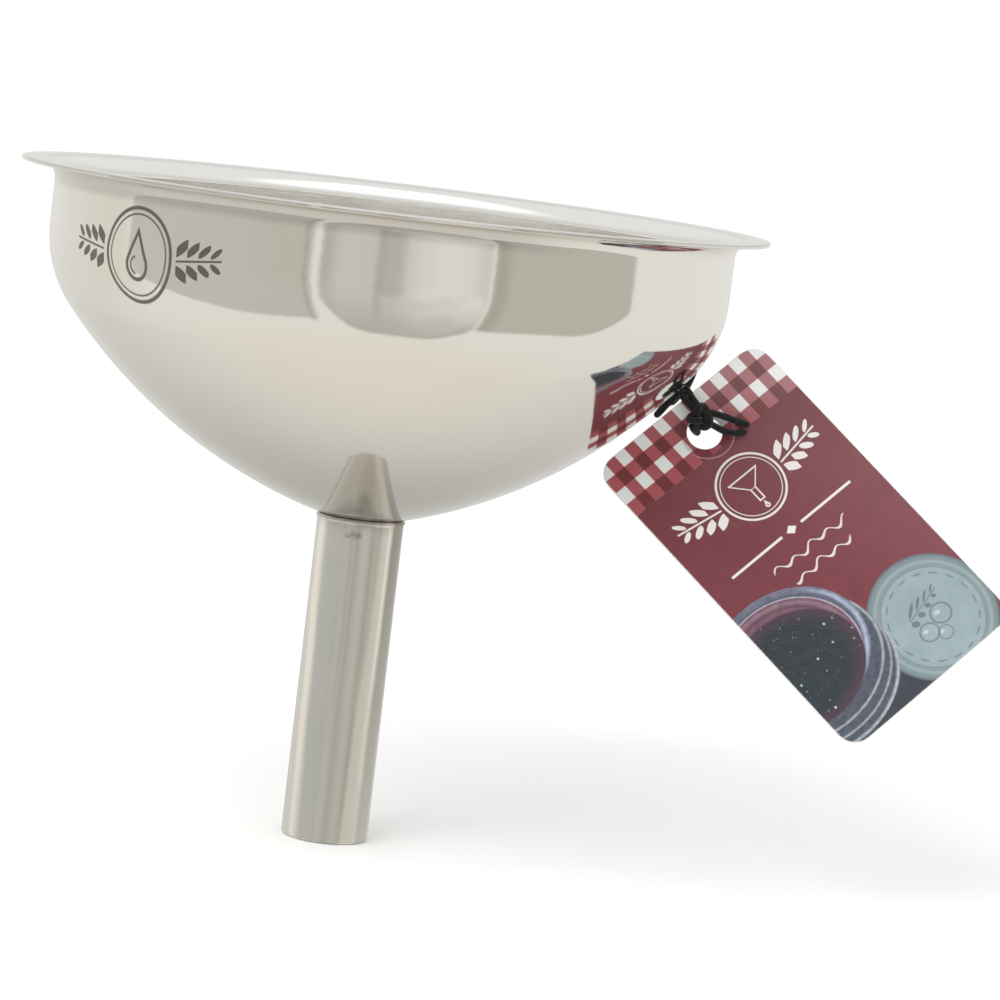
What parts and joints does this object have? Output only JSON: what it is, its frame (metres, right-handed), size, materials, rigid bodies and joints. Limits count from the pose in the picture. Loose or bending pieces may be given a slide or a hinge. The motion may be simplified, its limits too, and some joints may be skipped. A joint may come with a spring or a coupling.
{
  "type": "canning funnel",
  "caption": "Stainless steel canning funnel with a round pressed bowl, straight spout, lift-out mesh strainer with a folding wire handle, and a gingham card tag on a black cord.",
  "frame": {"origin": "centre of the spout's open lower end, on the funnel's axis", "axes": "+Z along the funnel's axis, from the spout's open end up through the rim; +X towards the side where the tag hangs; +Y towards the back, where the side handle is"},
  "size_m": [0.1914, 0.1413, 0.122],
  "materials": {
    "polished_steel": "mirror-polished stainless steel, slightly warm",
    "satin_steel": "satin stainless steel, fine lengthwise grain",
    "strainer_steel": "bright pressed stainless steel",
    "woven_wire": "plain-woven stainless wire",
    "bail_wire": "drawn stainless wire",
    "printed_card": "satin-printed card, burgundy with a gingham band",
    "black_cord": "matt black round braided cord"
  },
  "bodies": {
    "funnel": {"funnel_bowl": "polished_steel", "spout_tube": "satin_steel", "side_handle": "satin_steel", "tag_cord": "black_cord"},
    "strainer": {"strainer_frame": "strainer_steel", "strainer_mesh": "woven_wire", "strainer_clamp_ring": "strainer_steel", "bail_lugs": "strainer_steel"},
    "bail": {"strainer_bail": "bail_wire"},
    "tag": {"swing_tag": "printed_card", "cord_knot": "black_cord"}
  },
  "joints": [
    {"name": "strainer_lift", "type": "slide", "parent": "funnel", "child": "strainer", "axis": [0, 0, 1], "range_m": [0, 0.09]},
    {"name": "bail_fold", "type": "hinge", "parent": "strainer", "child": "bail", "pos_m": [0, 0, 0.08057], "axis": [1, 0, 0], "range_deg": [-85, 85]},
    {"name": "tag_flap", "type": "hinge", "parent": "funnel", "child": "tag", "pos_m": [0.058, 0.00726, 0.09121], "axis": [0.6895, 0.2984, 0.66], "range_deg": [-30, 60], "deforming": ["tag_cord"]}
  ]
}
